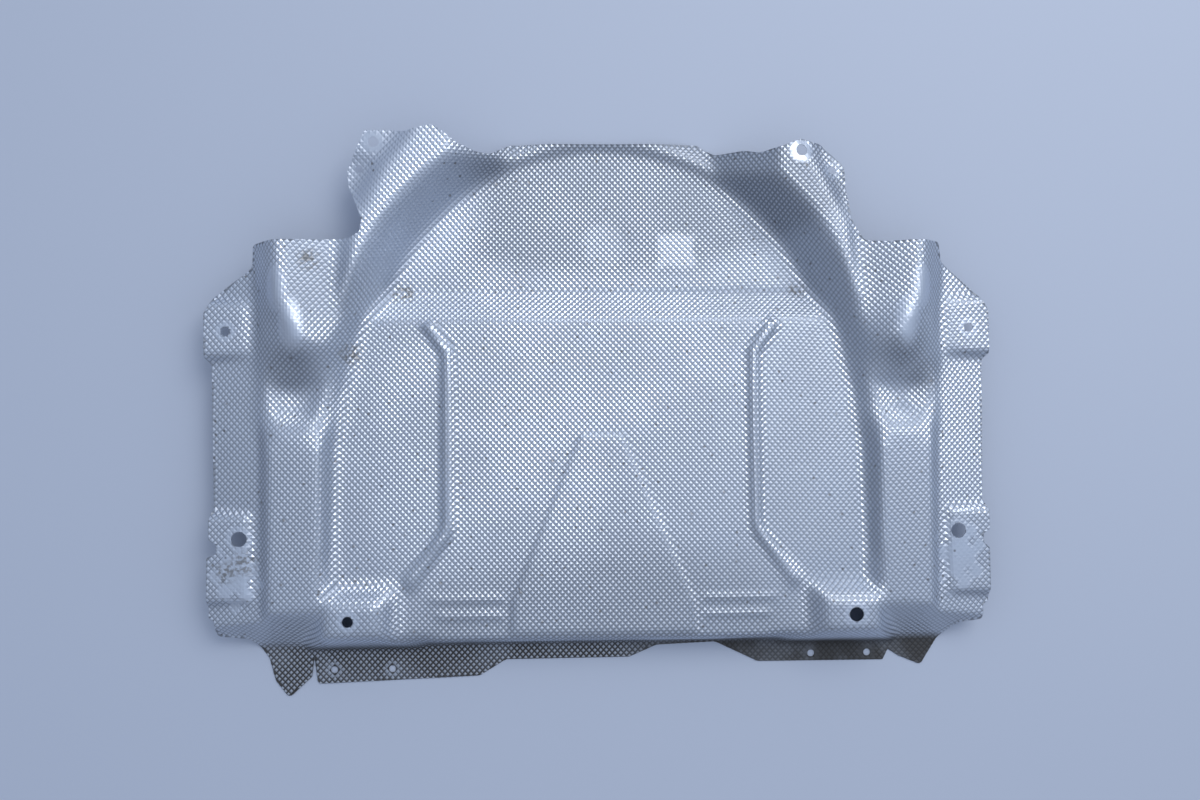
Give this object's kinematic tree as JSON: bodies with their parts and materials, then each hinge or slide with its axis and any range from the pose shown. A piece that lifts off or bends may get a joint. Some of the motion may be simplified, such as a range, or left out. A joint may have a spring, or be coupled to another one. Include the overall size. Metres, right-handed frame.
{
  "type": "silencer heat shield",
  "caption": "Pressed sheet heat shield for a vehicle silencer, with an arched recess, a stepped beaded floor, hole tabs along its sides and a lower flange.",
  "frame": {"origin": "centre of the bounding box's footprint, on the surface the sheet lies on", "axes": "+X across the shield to the right as its recess is seen, +Y from the lower flange to the top tabs, +Z out of the recess"},
  "size_m": [0.752, 0.5465, 0.062],
  "materials": {
    "embossed_aluminium": "embossed all over with small diamond dimples, weathered, with brown dirt along the lower flange"
  },
  "bodies": {
    "root": {"heat_shield": "embossed_aluminium"}
  },
  "joints": []
}
